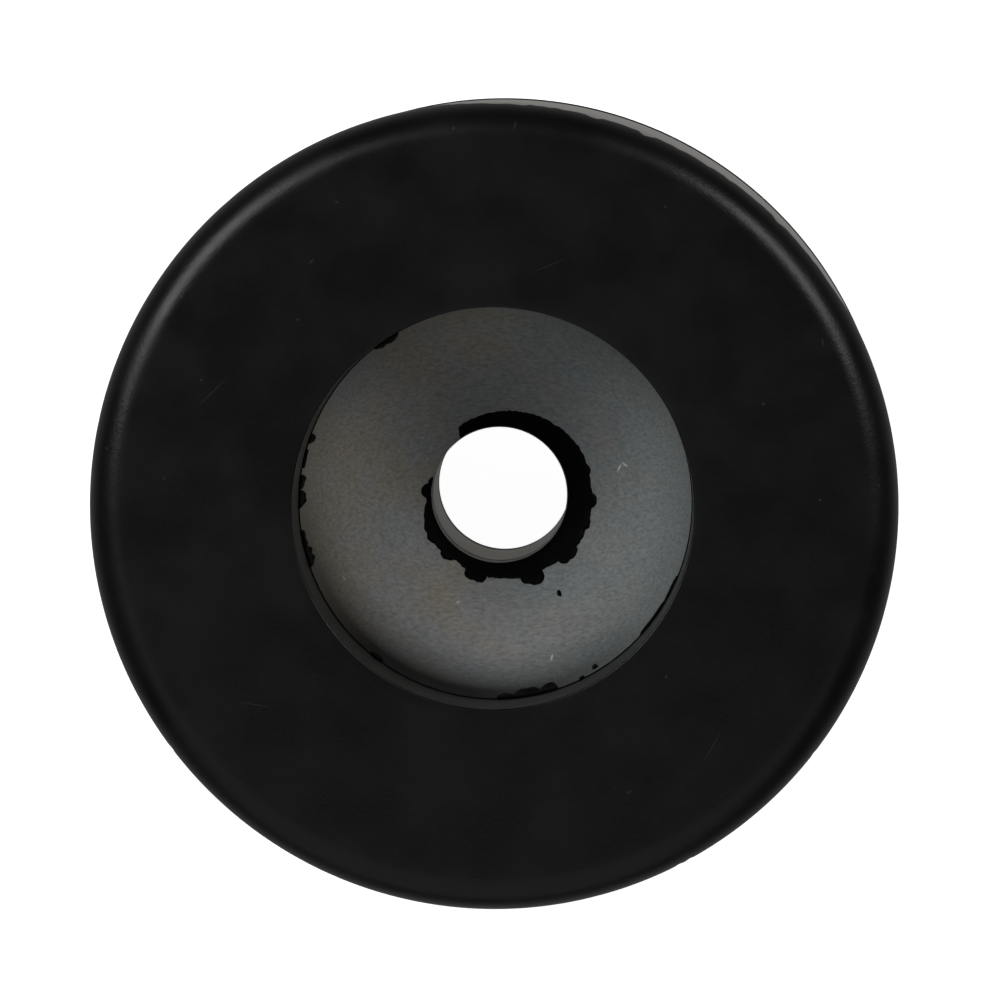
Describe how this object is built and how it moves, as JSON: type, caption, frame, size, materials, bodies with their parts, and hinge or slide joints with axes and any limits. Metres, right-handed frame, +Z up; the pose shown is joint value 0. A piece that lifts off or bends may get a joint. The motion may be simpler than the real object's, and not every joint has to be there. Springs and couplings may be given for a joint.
{
  "type": "security tag detacher",
  "caption": "Round magnetic block that unlocks hard security tags, with a dished steel cup in its top face, a through bore for pencil-shaped tags and a rubber-footed base.",
  "frame": {"origin": "centre of the pad's underside, on the surface that the detacher stands on", "axes": "+Z up along the axis of the body and the bore, towards the dished cup; X and Y are equal, with the base screws close to the diagonals"},
  "size_m": [0.07, 0.07, 0.038],
  "materials": {
    "black_coat": "matt black coat over turned aluminium, bare below the edge",
    "plated_steel": "zinc-plated and passivated drawn sheet",
    "black_epoxy": "cast resin",
    "bare_steel": "turned, bare",
    "nickel_plate": "nickel-plated sintered magnet",
    "turned_aluminium": "turned",
    "grey_foam": "closed-cell foam",
    "black_nylon": "moulded, fine texture",
    "blackened_steel": "black oxide",
    "black_rubber": "matt"
  },
  "bodies": {
    "root": {"body_shell": "black_coat", "bowl_cup": "plated_steel", "cup_potting": "black_epoxy", "bore_sleeve": "bare_steel", "inner_ring_magnet": "nickel_plate", "magnet_spacer_ring": "turned_aluminium", "lower_ring_magnet": "nickel_plate", "radial_magnet_1": "nickel_plate", "radial_magnet_2": "nickel_plate", "radial_magnet_3": "nickel_plate", "radial_magnet_4": "nickel_plate", "radial_magnet_5": "nickel_plate", "radial_magnet_6": "nickel_plate", "radial_magnet_7": "nickel_plate", "radial_magnet_8": "nickel_plate", "top_cushion_ring": "grey_foam", "back_iron_plate": "bare_steel", "base_cap": "black_nylon", "cover_screw_1": "blackened_steel", "cover_screw_2": "blackened_steel", "cover_screw_3": "blackened_steel", "cover_screw_4": "blackened_steel", "anti_slip_pad": "black_rubber"}
  },
  "joints": []
}
